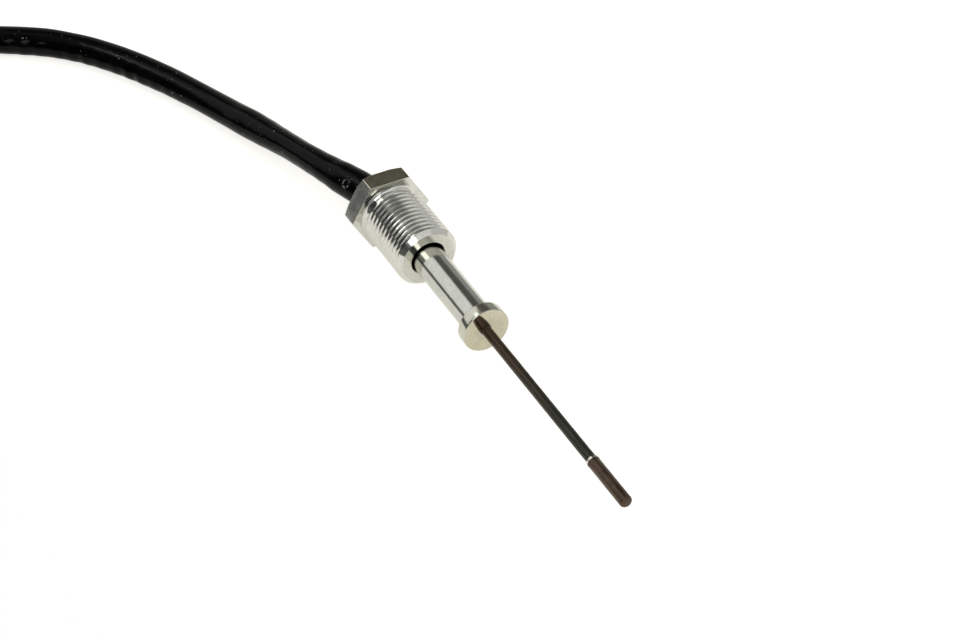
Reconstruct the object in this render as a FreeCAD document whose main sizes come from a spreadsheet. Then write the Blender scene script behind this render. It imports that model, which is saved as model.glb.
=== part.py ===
import FreeCAD, Part
import Sketcher
import math
import os

# Exhaust gas temperature sensor, in millimetres.
# The probe lies level along X with its tip towards +X and the flat of its nut on Z = 0.
# Along X, places are counted from the nut's hexagon front face and then moved by mid_x,
# so that the origin is under the middle of the rigid part.

Vector = FreeCAD.Vector
doc = FreeCAD.newDocument("temperature_sensor")


# Driving dimensions

SIZES = {
    # hollow screw: hexagon, relief groove, thread shank and bore
    "hex_flats": 18.0,
    "hex_thick": 5.0,
    "hex_bevel_dia": 18.5,
    "hex_bevel_angle": 30.0,
    "thread_dia": 16.0,
    "shank_len": 20.0,
    "groove_dia": 13.7,
    "groove_width": 2.2,
    "groove_ramp": 0.69,
    "nose_bevel": 1.1,
    "bore_dia": 8.8,
    "bore_mouth": 1.0,
    "bore_bevel": 0.2,
    # protection tube, necked at its rear end
    "tube_dia": 8.0,
    "tube_wall": 0.6,
    "tube_rest_gap": 0.2,
    "tube_rear": 1.0,
    "neck_dia": 6.9,
    "neck_len": 7.0,
    "neck_taper": 1.4,
    # stop collar on the front of the tube
    "nut_travel": 26.0,
    "collar_dia": 11.7,
    "collar_thick": 3.2,
    "collar_bevel": 0.25,
    "spigot_len": 4.0,
    "spigot_bevel": 0.3,
    # thin mineral insulated sheath and its cap
    "sheath_dia": 2.5,
    "sheath_wall": 0.28,
    "sheath_show": 48.2,
    "sheath_tail": 9.0,
    "sheath_tuck": 3.0,
    "cap_dia": 3.0,
    "cap_len": 15.0,
    "cap_end_wall": 1.2,
    "cap_drill_point": 0.75,
    "cap_rim_len": 0.9,
    "cap_rim_rise": 0.05,
    # sensing element
    "element_len": 2.2,
    "element_width": 1.3,
    "element_thick": 0.9,
    "element_set_back": 3.2,
    "element_lead_dia": 0.24,
    # core wires of the sheath
    "core_dia": 0.5,
    "core_pitch": 0.95,
    "core_front": 1.2,
    "core_tail": 7.5,
    "core_straight": 1.0,
    "core_in_crimp": 3.6,
    # splices and the ceramic that holds them apart
    "crimp_dia": 1.6,
    "crimp_len": 7.0,
    "spacer_len": 12.0,
    "spacer_bore": 2.1,
    # leads and the grommet in the neck
    "lead_dia": 1.7,
    "conductor_dia": 0.8,
    "lead_pitch": 2.4,
    "grommet_len": 6.2,
    # cable sleeve
    "sleeve_dia": 7.0,
    "sleeve_wall": 0.34,
    "sleeve_grip": 6.5,
    "sleeve_step": 1.0,
    # plug at the far end of the cable
    "plug_width": 15.0,
    "plug_height": 12.0,
    "plug_block": 14.0,
    "plug_nose": 14.0,
    "nose_width": 11.8,
    "nose_height": 7.2,
    "plug_edge": 1.4,
    "boot_len": 10.0,
    "boot_straight": 5.5,
    "boot_bevel": 0.5,
    "boot_rear_dia": 8.4,
    "boot_front_dia": 10.0,
    "boot_spigot_dia": 7.6,
    "boot_spigot_len": 3.0,
    "contact_pitch": 4.0,
    "cavity_dia": 2.8,
    "contact_width": 1.8,
    "contact_len": 10.0,
    "barrel_len": 4.0,
    "barrel_depth": 3.0,
    "barrel_gap": 0.6,
    "cover_gap": 0.2,
    "wire_seal_len": 4.2,
    "wire_seal_ridge": 0.25,
    "lock_width": 8.4,
    "lock_height": 4.2,
    "lock_depth": 2.0,
    "window_dia": 1.5,
    "seal_len": 3.2,
    "seal_thick": 0.7,
    "latch_width": 6.0,
    "latch_thick": 1.1,
    "latch_reach": 10.5,
    "latch_drop": 0.2,
    "latch_hook_len": 2.5,
    "latch_hook_rise": 0.5,
    "grip_start": 3.0,
    "grip_rib": 0.5,
    "grip_step": 2.4,
    "grip_count": 4,
    # clearance between pieces that are pushed together
    "seat_gap": 0.02,
}

# Places that follow from the sizes, as formulas of the sheet above
PLACES = {
    "tube_axis_z": "hex_flats / 2 - bore_dia / 2 + tube_dia / 2 + tube_rest_gap",
    "collar_back": "shank_len + nut_travel",
    "cap_back": "shank_len + nut_travel + collar_thick + sheath_show",
    "mid_x": "(shank_len + nut_travel + collar_thick + sheath_show + cap_len - hex_thick) / 2",
    "tube_len": "shank_len + nut_travel - tube_rear",
    "tube_bore": "tube_dia - 2 * tube_wall",
    "neck_bore": "neck_dia - 2 * tube_wall",
    "sheath_back": "shank_len + nut_travel + collar_thick - sheath_tail",
    "sheath_len": "sheath_tail + sheath_show + sheath_tuck",
    "sheath_bore": "sheath_dia - 2 * sheath_wall",
    "cap_bore": "sheath_dia + 2 * seat_gap",
    "cavity_back": "shank_len + nut_travel + collar_thick + sheath_show + sheath_tuck",
    "cavity_len": "cap_len - sheath_tuck - cap_end_wall - cap_drill_point",
    "element_front": "shank_len + nut_travel + collar_thick + sheath_show + cap_len - element_set_back",
    "core_back": "shank_len + nut_travel + collar_thick - sheath_tail - core_tail",
    "splice_back": "shank_len + nut_travel + collar_thick - sheath_tail - core_tail - crimp_len / 2",
    "sleeve_bore": "neck_dia + 2 * seat_gap",
    "sleeve_mouth": "neck_dia + 2 * seat_gap + 2 * sleeve_wall",
    "plug_front": "boot_len + plug_block + plug_nose",
    "cavity_rear": "boot_len + boot_spigot_len",
    "barrel_rear": "boot_len + boot_spigot_len + wire_seal_len + barrel_gap",
    "latch_level": "plug_height / 2 - latch_thick - latch_drop",
}

# Middle line of the cable sleeve in the part's own frame, from inside the nut to the plug.
# It leaves the tube level, bends to the side at once, comes down to the ground,
# sweeps round and turns back on itself.
SLEEVE_ROUTE = (
    (-46.2, 0.0, 8.8),
    (-60.2, 0.0, 8.8),
    (-75.4, -4.7, 8.2),
    (-97.7, -10.4, 5.6),
    (-122.7, -18.3, 3.9),
    (-145.7, -27.2, 3.5),
    (-163.7, -39.0, 3.5),
    (-175.2, -54.5, 3.5),
    (-183.7, -69.5, 3.5),
    (-199.8, -83.0, 3.5),
    (-221.4, -87.2, 3.5),
    (-242.2, -80.0, 3.5),
    (-256.3, -63.8, 4.1),
    (-261.0, -43.3, 6.0),
    (-258.0, -26.6, 6.0),
)
BEND_SHARE = 0.45  # share of the shorter run that each bend takes up

sizes = doc.addObject("Spreadsheet::Sheet", "sizes")
for row, (name, number) in enumerate(SIZES.items(), start=1):
    sizes.set(f"A{row}", name)
    sizes.set(f"B{row}", str(number))
    sizes.setAlias(f"B{row}", name)
doc.recompute()

places = doc.addObject("Spreadsheet::Sheet", "places")
for row, (name, formula) in enumerate(PLACES.items(), start=1):
    words = formula.replace("(", "( ").replace(")", " )").split(" ")
    linked = " ".join("sizes." + word if word in SIZES else word for word in words)
    places.set(f"A{row}", name)
    places.set(f"B{row}", "=" + linked)
    places.setAlias(f"B{row}", name)
doc.recompute()

pieces = []


def size(name):
    """A number of either sheet, for shapes that are made outside the feature tree."""
    sheet = sizes if name in SIZES else places
    return float(sheet.get(name))


def bind(thing, **formulas):
    """Tie properties of an object to the sheets; a double underscore stands for a dot."""
    for name, formula in formulas.items():
        thing.setExpression(name.replace("__", "."), formula)


def place_on_axis(thing, along, side="0", axis="places.tube_axis_z"):
    """Put a piece at a distance along X from the hexagon's front face, on the tube's axis."""
    bind(thing, Placement__Base__x=f"{along} - places.mid_x")
    bind(thing, Placement__Base__y=side, Placement__Base__z=axis)


def keep(thing, label):
    """Name a finished piece and list it for the files."""
    thing.Label = label
    pieces.append(thing)
    return thing


def new_body(name):
    return doc.addObject("PartDesign::Body", name + "_body")


def plane_sketch(body, name, role):
    """An empty sketch on one of the body's own planes."""
    plane = next(f for f in body.Origin.OriginFeatures if f.Role == role)
    sketch = body.newObject("Sketcher::SketchObject", name)
    sketch.AttachmentSupport = (plane, "")
    sketch.MapMode = "FlatFace"
    return sketch


def tie_point(sketch, geometry, end, name, across, upward):
    """Fix one sketch point by two formulas, measured from the sketch's origin."""
    index = sketch.addConstraint(Sketcher.Constraint("DistanceX", -1, 1, geometry, end, 1.0))
    sketch.renameConstraint(index, name + "_x")
    sketch.setExpression(f"Constraints.{name}_x", across)
    index = sketch.addConstraint(Sketcher.Constraint("DistanceY", -1, 1, geometry, end, 1.0))
    sketch.renameConstraint(index, name + "_y")
    sketch.setExpression(f"Constraints.{name}_y", upward)


def polygon(body, name, role, corners):
    """A closed outline of straight sides whose corners are pairs of formulas."""
    sketch = plane_sketch(body, name, role)
    count = len(corners)
    turns = [2 * math.pi * k / count for k in range(count)]
    start = [Vector(10 * math.cos(turn), 10 * math.sin(turn), 0) for turn in turns]
    for k in range(count):
        sketch.addGeometry(Part.LineSegment(start[k], start[(k + 1) % count]), False)
    for k in range(count):
        sketch.addConstraint(Sketcher.Constraint("Coincident", k, 2, (k + 1) % count, 1))
    for k, (across, upward) in enumerate(corners):
        tie_point(sketch, k, 1, f"p{k}", across, upward)
    return sketch


def circles(body, name, role, centres, diameter):
    """Circles of one diameter round centres given as pairs of formulas."""
    sketch = plane_sketch(body, name, role)
    for k, (across, upward) in enumerate(centres):
        sketch.addGeometry(Part.Circle(Vector(3 * k + 1, 1, 0), Vector(0, 0, 1), 1.0), False)
        index = sketch.addConstraint(Sketcher.Constraint("Diameter", k, 2.0))
        sketch.renameConstraint(index, f"wide{k}")
        sketch.setExpression(f"Constraints.wide{k}", diameter)
        tie_point(sketch, k, 3, f"c{k}", across, upward)
    return sketch


def feature(body, kind, name, sketch, **values):
    """A PartDesign feature on a sketch, with plain values set on it."""
    made = body.newObject("PartDesign::" + kind, name)
    made.Profile = sketch
    for key, value in values.items():
        setattr(made, key, value)
    sketch.Visibility = False
    return made


def turned(body, name, corners, kind="Revolution"):
    """A round form about the X axis from corners given as distance along and radius."""
    sketch = polygon(body, name + "_profile", "XZ_Plane", corners)
    return feature(body, kind, name, sketch, ReferenceAxis=(sketch, ["H_Axis"]), Angle=360.0)


def rectangle(body, name, width, height, low="0", along=None):
    """A rectangle across the X axis, centred on it; low is the level of its middle."""
    half_w = f"{width} / 2"
    half_h = f"{height} / 2"
    sketch = polygon(body, name, "YZ_Plane", [
        (f"-({half_w})", f"{low} - {half_h}"),
        (half_w, f"{low} - {half_h}"),
        (half_w, f"{low} + {half_h}"),
        (f"-({half_w})", f"{low} + {half_h}"),
    ])
    if along is not None:
        sketch.setExpression("AttachmentOffset.Base.z", along)
    return sketch


def edges_along_x(shape, body_feature, low, high):
    """Names of the straight edges along X whose middles lie between two places along X."""
    names = []
    for number, edge in enumerate(shape.Edges, start=1):
        way = edge.tangentAt(edge.FirstParameter)
        middle = edge.BoundBox.Center.x
        straight = edge.Curve.TypeId == "Part::GeomLine"
        if straight and abs(abs(way.x) - 1) < 1e-6 and low < middle < high:
            names.append(f"Edge{number}")
    return (body_feature, names)


# Hollow screw: a hexagon with a threaded shank, bored through so that it slides on the tube

def make_hollow_nut():
    body = new_body("hollow_nut")
    across = "sizes.hex_flats / 2"
    corner = "sizes.hex_flats / sqrt(3)"
    sketch = polygon(body, "hexagon", "YZ_Plane", [
        (corner, "0"),
        (f"{corner} / 2", across),
        (f"-{corner} / 2", across),
        (f"-{corner}", "0"),
        (f"-{corner} / 2", f"-{across}"),
        (f"{corner} / 2", f"-{across}"),
    ])
    pad = feature(body, "Pad", "hexagon_block", sketch)
    bind(pad, Length="sizes.hex_thick")

    outside = "sizes.hex_flats"
    rise = f"({outside} - sizes.hex_bevel_dia / 2)"
    turned(body, "hexagon_bevel", [
        ("0", "sizes.hex_bevel_dia / 2"),
        ("0", outside),
        (f"{rise} * tan(sizes.hex_bevel_angle * 1 deg)", outside),
    ], "Groove")

    root = "sizes.hex_thick / 2"
    core = "sizes.bore_dia / 4"
    turned(body, "shank", [
        (root, core),
        (root, "sizes.groove_dia / 2"),
        ("sizes.hex_thick + sizes.groove_width", "sizes.groove_dia / 2"),
        ("sizes.hex_thick + sizes.groove_width + sizes.groove_ramp", "sizes.thread_dia / 2"),
        ("sizes.hex_thick + sizes.shank_len - sizes.nose_bevel", "sizes.thread_dia / 2"),
        ("sizes.hex_thick + sizes.shank_len", "sizes.thread_dia / 2 - sizes.nose_bevel"),
        ("sizes.hex_thick + sizes.shank_len", core),
    ])

    turned(body, "bore", [
        ("0", "0"),
        ("0", "sizes.bore_dia / 2 + sizes.bore_mouth"),
        ("sizes.bore_mouth", "sizes.bore_dia / 2"),
        ("sizes.hex_thick + sizes.shank_len - sizes.bore_bevel", "sizes.bore_dia / 2"),
        ("sizes.hex_thick + sizes.shank_len", "sizes.bore_dia / 2 + sizes.bore_bevel"),
        ("sizes.hex_thick + sizes.shank_len", "0"),
    ], "Groove")
    place_on_axis(body, "-sizes.hex_thick", axis="sizes.hex_flats / 2")
    keep(body, "hollow_nut")


# Protection tube with a necked rear end that the cable sleeve is pushed over

def make_protection_tube():
    body = new_body("protection_tube")
    outer = "sizes.tube_dia / 2"
    neck = "sizes.neck_dia / 2"
    taper_end = "sizes.neck_len + sizes.neck_taper"
    turned(body, "tube_wall", [
        ("0", f"{neck} - sizes.tube_wall"),
        ("0", neck),
        ("sizes.neck_len", neck),
        (taper_end, outer),
        ("places.tube_len", outer),
        ("places.tube_len", f"{outer} - sizes.tube_wall"),
        (taper_end, f"{outer} - sizes.tube_wall"),
        ("sizes.neck_len", f"{neck} - sizes.tube_wall"),
    ])
    place_on_axis(body, "sizes.tube_rear")
    keep(body, "protection_tube")


# Stop collar: the flange that the nut presses on its seat, with a spigot inside the tube

def make_stop_collar():
    body = new_body("stop_collar")
    rim = "sizes.collar_dia / 2"
    bevel = "sizes.collar_bevel"
    spigot = "places.tube_bore / 2 - sizes.seat_gap"
    hole = "sizes.sheath_dia / 2 + sizes.seat_gap"
    turned(body, "collar_form", [
        ("0", hole),
        ("0", f"{spigot} - sizes.spigot_bevel"),
        ("sizes.spigot_bevel", spigot),
        ("sizes.spigot_len", spigot),
        ("sizes.spigot_len", f"{rim} - {bevel}"),
        (f"sizes.spigot_len + {bevel}", rim),
        (f"sizes.spigot_len + sizes.collar_thick - {bevel}", rim),
        ("sizes.spigot_len + sizes.collar_thick", f"{rim} - {bevel}"),
        ("sizes.spigot_len + sizes.collar_thick", hole),
    ])
    place_on_axis(body, "places.collar_back - sizes.spigot_len")
    keep(body, "stop_collar")


# Sheath: a thin seamless tube packed with mineral powder round two wires

def make_sheath():
    body = new_body("sheath")
    turned(body, "sheath_wall", [
        ("0", "places.sheath_bore / 2"),
        ("0", "sizes.sheath_dia / 2"),
        ("places.sheath_len", "sizes.sheath_dia / 2"),
        ("places.sheath_len", "places.sheath_bore / 2"),
    ])
    place_on_axis(body, "places.sheath_back")
    keep(body, "sheath")

    body = new_body("sheath_packing")
    turned(body, "packing", [
        ("0", "0"),
        ("0", "places.sheath_bore / 2 - sizes.seat_gap"),
        ("places.sheath_len", "places.sheath_bore / 2 - sizes.seat_gap"),
        ("places.sheath_len", "0"),
    ])
    sketch = circles(body, "core_holes", "YZ_Plane",
                     [("sizes.core_pitch / 2", "0"), ("-sizes.core_pitch / 2", "0")],
                     "sizes.core_dia + 2 * sizes.seat_gap")
    holes = feature(body, "Pocket", "core_bores", sketch, Type="ThroughAll", Midplane=True)
    holes.Refine = False
    place_on_axis(body, "places.sheath_back")
    keep(body, "sheath_packing")


# Primitives along X for the small round pieces

def cylinder(name, diameter, length, along="0", side="0", level="0"):
    made = doc.addObject("Part::Cylinder", name)
    made.Placement = FreeCAD.Placement(Vector(0, 0, 0), FreeCAD.Rotation(Vector(0, 1, 0), 90))
    bind(made, Radius=f"({diameter}) / 2", Height=length)
    bind(made, Placement__Base__x=along, Placement__Base__y=side, Placement__Base__z=level)
    return made


def sphere(name, diameter, along):
    made = doc.addObject("Part::Sphere", name)
    bind(made, Radius=f"({diameter}) / 2", Placement__Base__x=along)
    return made


def drill_point(name, diameter, along):
    """The short cone that a drill leaves at the end of its hole."""
    made = doc.addObject("Part::Cone", name)
    made.Placement = FreeCAD.Placement(Vector(0, 0, 0), FreeCAD.Rotation(Vector(0, 1, 0), 90))
    made.Radius2 = 0
    bind(made, Radius1=f"({diameter}) / 2", Height="sizes.cap_drill_point", Placement__Base__x=along)
    return made


def fused(name, parts):
    made = doc.addObject("Part::MultiFuse", name)
    made.Shapes = parts
    made.Refine = True
    return made


def cut(name, base, tool):
    made = doc.addObject("Part::Cut", name)
    made.Base = base
    made.Tool = tool
    return made


# Cap: a closed tube with a domed end, its open rim standing a little proud

def make_cap():
    dome = "sizes.cap_len - sizes.cap_dia / 2"
    outside = fused("cap_outside", [
        cylinder("cap_barrel", "sizes.cap_dia", dome),
        sphere("cap_dome", "sizes.cap_dia", dome),
        cylinder("cap_rim", "sizes.cap_dia + 2 * sizes.cap_rim_rise", "sizes.cap_rim_len"),
    ])
    reach = "sizes.sheath_tuck + places.cavity_len"
    inside = fused("cap_inside", [
        cylinder("cap_hole", "places.cap_bore", reach),
        drill_point("cap_hole_end", "places.cap_bore", reach),
    ])
    cap = cut("cap_shell", outside, inside)
    place_on_axis(cap, "places.cap_back")
    keep(cap, "tip_cap")


# Sensing element, its two wires and the cement that holds them in the cap

def make_element():
    chip = doc.addObject("Part::Box", "element_chip")
    bind(chip, Length="sizes.element_len", Width="sizes.element_width", Height="sizes.element_thick")
    place_on_axis(chip, "places.element_front - sizes.element_len", side="-sizes.element_width / 2",
                  axis="places.tube_axis_z - sizes.element_thick / 2")
    keep(chip, "sensing_element")

    start = "(places.cavity_back + sizes.core_front)"
    wires = []
    for letter, sign in (("a", ""), ("b", "-")):
        wire = cylinder(f"element_wire_{letter}", "sizes.element_lead_dia",
                        f"places.element_front - sizes.element_len - {start}")
        place_on_axis(wire, start, side=f"{sign}sizes.core_pitch / 2")
        wires.append(keep(wire, f"element_lead_{letter}"))

    width = "places.cap_bore - 2 * sizes.seat_gap"
    filling = fused("cement_outside", [
        cylinder("cement_barrel", width, "places.cavity_len"),
        drill_point("cement_end", width, "places.cavity_len"),
    ])
    place_on_axis(filling, "places.cavity_back")
    room = doc.addObject("Part::Box", "element_room")
    bind(room, Length="sizes.element_len", Width="sizes.element_width", Height="sizes.element_thick")
    place_on_axis(room, "places.element_front - sizes.element_len", side="-sizes.element_width / 2",
                  axis="places.tube_axis_z - sizes.element_thick / 2")
    rooms = [room]
    for letter, sign in (("a", ""), ("b", "-")):
        thin = cylinder(f"element_wire_room_{letter}", "sizes.element_lead_dia",
                        f"places.element_front - sizes.element_len - {start}")
        place_on_axis(thin, start, side=f"{sign}sizes.core_pitch / 2")
        thick = cylinder(f"core_end_room_{letter}", "sizes.core_dia", "sizes.core_front")
        place_on_axis(thick, "places.cavity_back", side=f"{sign}sizes.core_pitch / 2")
        rooms += [thin, thick]
    cement = cut("cement_form", filling, fused("cement_rooms", rooms))
    keep(cement, "tip_cement")


# Core wires, spliced to the leads inside the tube

def make_core_and_leads():
    for letter, sign in (("a", 1.0), ("b", -1.0)):
        near = sign * size("core_pitch") / 2
        far = sign * size("lead_pitch") / 2
        back = size("core_back")
        spread = back + size("core_tail") - size("core_straight")
        gather = back + size("core_in_crimp")
        front = size("cavity_back") + size("core_front")
        route = [(front, near, 0), (spread, near, 0), (gather, far, 0), (back, far, 0)]
        wire = doc.addObject("Part::Feature", f"core_wire_form_{letter}")
        wire.Shape = swept(route, size("core_dia"))
        place_on_axis(wire, "0")
        keep(wire, f"core_wire_{letter}")

        side = f"{'' if sign > 0 else '-'}sizes.lead_pitch / 2"
        hole = "sizes.conductor_dia + 2 * sizes.seat_gap"
        barrel = cut(f"crimp_form_{letter}",
                     cylinder(f"crimp_outside_{letter}", "sizes.crimp_dia", "sizes.crimp_len"),
                     cylinder(f"crimp_hole_{letter}", hole, "sizes.crimp_len"))
        place_on_axis(barrel, "places.splice_back", side=side)
        keep(barrel, f"crimp_sleeve_{letter}")

        metal_end = "places.core_back - sizes.seat_gap"
        metal = cylinder(f"conductor_form_{letter}", "sizes.conductor_dia", f"{metal_end} - sizes.tube_rear")
        place_on_axis(metal, "sizes.tube_rear", side=side)
        keep(metal, f"lead_conductor_{letter}")

        cover_len = "places.splice_back - sizes.seat_gap - sizes.tube_rear"
        cover = cut(f"insulation_form_{letter}",
                    cylinder(f"insulation_outside_{letter}", "sizes.lead_dia", cover_len),
                    cylinder(f"insulation_hole_{letter}", hole, cover_len))
        place_on_axis(cover, "sizes.tube_rear", side=side)
        keep(cover, f"lead_insulation_{letter}")


# Ceramic spacer round the splices, and the grommet in the neck of the tube

def make_spacer_and_grommet():
    sides = [("sizes.lead_pitch / 2", "0"), ("-sizes.lead_pitch / 2", "0")]
    body = new_body("splice_spacer")
    width = "places.tube_bore - 4 * sizes.seat_gap"
    sketch = circles(body, "spacer_outline", "YZ_Plane", [("0", "0")], width)
    pad = feature(body, "Pad", "spacer_block", sketch)
    bind(pad, Length="sizes.spacer_len")
    sketch = circles(body, "spacer_hole_outline", "YZ_Plane", sides, "sizes.spacer_bore")
    feature(body, "Pocket", "spacer_holes", sketch, Type="ThroughAll", Midplane=True)
    place_on_axis(body, "places.splice_back - (sizes.spacer_len - sizes.crimp_len) / 2")
    keep(body, "splice_spacer")

    body = new_body("rear_grommet")
    width = "places.neck_bore - 2 * sizes.seat_gap"
    sketch = circles(body, "grommet_outline", "YZ_Plane", [("0", "0")], width)
    pad = feature(body, "Pad", "grommet_block", sketch)
    bind(pad, Length="sizes.grommet_len")
    hole = "sizes.lead_dia + 2 * sizes.seat_gap"
    sketch = circles(body, "grommet_hole_outline", "YZ_Plane", sides, hole)
    feature(body, "Pocket", "grommet_holes", sketch, Type="ThroughAll", Midplane=True)
    place_on_axis(body, "sizes.tube_rear")
    keep(body, "rear_grommet")


# Swept rounds: straight runs joined by tangent arcs

def rounded_path(points):
    """Edges of the path, the radius of each bend and the path's length."""
    corners = [Vector(*point) for point in points]
    edges = []
    radii = []
    at = corners[0]
    for before, corner, after in zip(corners, corners[1:], corners[2:]):
        run_in = corner - before
        run_out = after - corner
        turn = run_in.getAngle(run_out)
        trim = BEND_SHARE * min(run_in.Length, run_out.Length)
        radius = trim / math.tan(turn / 2)
        way_in = Vector(run_in).normalize()
        way_out = Vector(run_out).normalize()
        arc_start = corner - way_in * trim
        arc_end = corner + way_out * trim
        inward = (way_out - way_in).normalize()
        arc_middle = corner + inward * (radius / math.cos(turn / 2) - radius)
        edges.append(Part.LineSegment(at, arc_start).toShape())
        edges.append(Part.Arc(arc_start, arc_middle, arc_end).toShape())
        radii.append(radius)
        at = arc_end
    edges.append(Part.LineSegment(at, corners[-1]).toShape())
    return edges, radii, sum(edge.Length for edge in edges)


def swept(points, diameter):
    """A solid round of one diameter along the rounded path."""
    edges = rounded_path(points)[0]
    start = Vector(*points[0])
    way = Vector(*points[1]) - start
    ring = Part.Wire(Part.Circle(start, way, diameter / 2).toShape())
    return Part.Wire(edges).makePipeShell([ring], True, False)


def print_route(points, diameter, solid):
    """The bend radii of a swept round, its length and how well its volume agrees."""
    edges, radii, length = rounded_path(points)
    section = math.pi * diameter ** 2 / 4
    print("bend radii", [round(radius, 1) for radius in radii])
    print("path", round(length, 2), "volume share", round(solid.Volume / (section * length), 5))


# Cable sleeve: its front end grips the neck of the tube, the rest is a plain round

def make_cable_sleeve():
    axis = Vector(1, 0, 0)
    rear = size("tube_rear") - size("mid_x")
    level = size("tube_axis_z")
    mouth = Part.makeCylinder(size("sleeve_mouth") / 2, size("sleeve_grip"), Vector(rear, 0, level), axis)
    hole = Part.makeCylinder(size("sleeve_bore") / 2, size("sleeve_grip"), Vector(rear, 0, level), axis)
    grip = mouth.cut(hole)
    tail = swept(SLEEVE_ROUTE, size("sleeve_dia"))
    print_route(SLEEVE_ROUTE, size("sleeve_dia"), tail)
    clear = Part.makeCylinder(size("sleeve_mouth"), size("tube_len"), Vector(rear, 0, level), axis)
    step = size("sleeve_step")
    step_start = Vector(rear - step, 0, level)
    shoulder = Part.makeCone(size("sleeve_dia") / 2, size("sleeve_mouth") / 2, step, step_start, axis)
    whole = tail.cut(clear).fuse([shoulder, grip]).removeSplitter()
    sleeve = doc.addObject("Part::Feature", "cable_sleeve_form")
    sleeve.Shape = whole
    keep(sleeve, "cable_sleeve")


# Plug: everything below is drawn along X from the end of the sleeve and then turned with it

def plug_frame():
    """Place of the plug: the sleeve's end, pointing the way its last run points in plan."""
    end = Vector(*SLEEVE_ROUTE[-1])
    way = end - Vector(*SLEEVE_ROUTE[-2])
    heading = math.degrees(math.atan2(way.y, way.x))
    return FreeCAD.Placement(end, FreeCAD.Rotation(Vector(0, 0, 1), heading))


def set_in_plug(thing, label, along=0.0, side=0.0, level=0.0):
    """Place a piece of the plug, offset along its own axes."""
    offset = FreeCAD.Placement(Vector(along, side, level), thing.Placement.Rotation)
    thing.Placement = plug_frame().multiply(offset)
    keep(thing, label)


PLUG_SIDES = (("a", ""), ("b", "-"))
SEAL_RIDGES = 3
PLUG_CENTRES = [("sizes.contact_pitch / 2", "0"), ("-sizes.contact_pitch / 2", "0")]


def make_boot():
    body = new_body("plug_boot")
    rear = "sizes.boot_rear_dia / 2"
    front = "sizes.boot_front_dia / 2"
    spigot = "sizes.boot_spigot_dia / 2 - sizes.seat_gap"
    end = "sizes.boot_len + sizes.boot_spigot_len - sizes.seat_gap"
    turned(body, "boot_form", [
        ("0", "0"),
        ("0", f"{rear} - sizes.boot_bevel"),
        ("sizes.boot_bevel", rear),
        ("sizes.boot_straight", rear),
        ("sizes.boot_len", front),
        ("sizes.boot_len", spigot),
        (end, spigot),
        (end, "0"),
    ])
    hole = "sizes.lead_dia + 2 * sizes.seat_gap"
    sketch = circles(body, "boot_hole_outline", "YZ_Plane", PLUG_CENTRES, hole)
    feature(body, "Pocket", "boot_holes", sketch, Type="ThroughAll", Midplane=True)
    set_in_plug(body, "plug_boot")


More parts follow.
